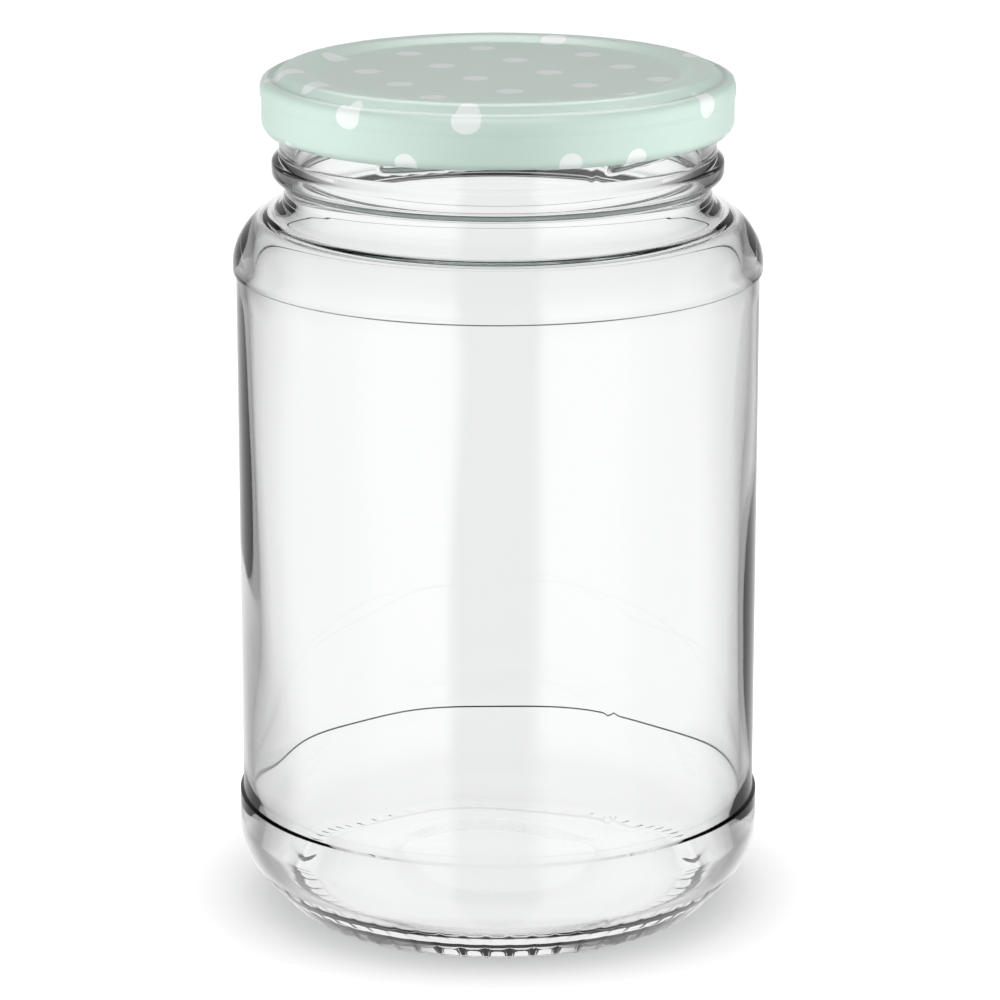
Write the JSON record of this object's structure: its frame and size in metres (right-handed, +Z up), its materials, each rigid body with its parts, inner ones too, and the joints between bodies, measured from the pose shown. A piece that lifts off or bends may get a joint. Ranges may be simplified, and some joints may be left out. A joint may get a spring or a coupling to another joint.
{
  "type": "glass food jar with twist-off cap",
  "caption": "Round clear glass food jar with a recessed label panel, rounded shoulder and heel, knurled bearing ring and a pale green dotted steel twist-off cap.",
  "frame": {"origin": "centre of the bearing ring, on the surface the jar stands on", "axes": "+Z up along the jar's axis; +X across it, by the lower end of a thread"},
  "size_m": [0.095, 0.095, 0.1539],
  "materials": {
    "clear_glass": "clear flint glass, fire polished, slightly wavy",
    "lid_enamel": "satin enamel on tinplate, printed with pale round dots",
    "sealing_compound": "soft matt compound"
  },
  "bodies": {
    "root": {"jar": "clear_glass", "lid": "lid_enamel", "seal": "sealing_compound"}
  },
  "joints": []
}
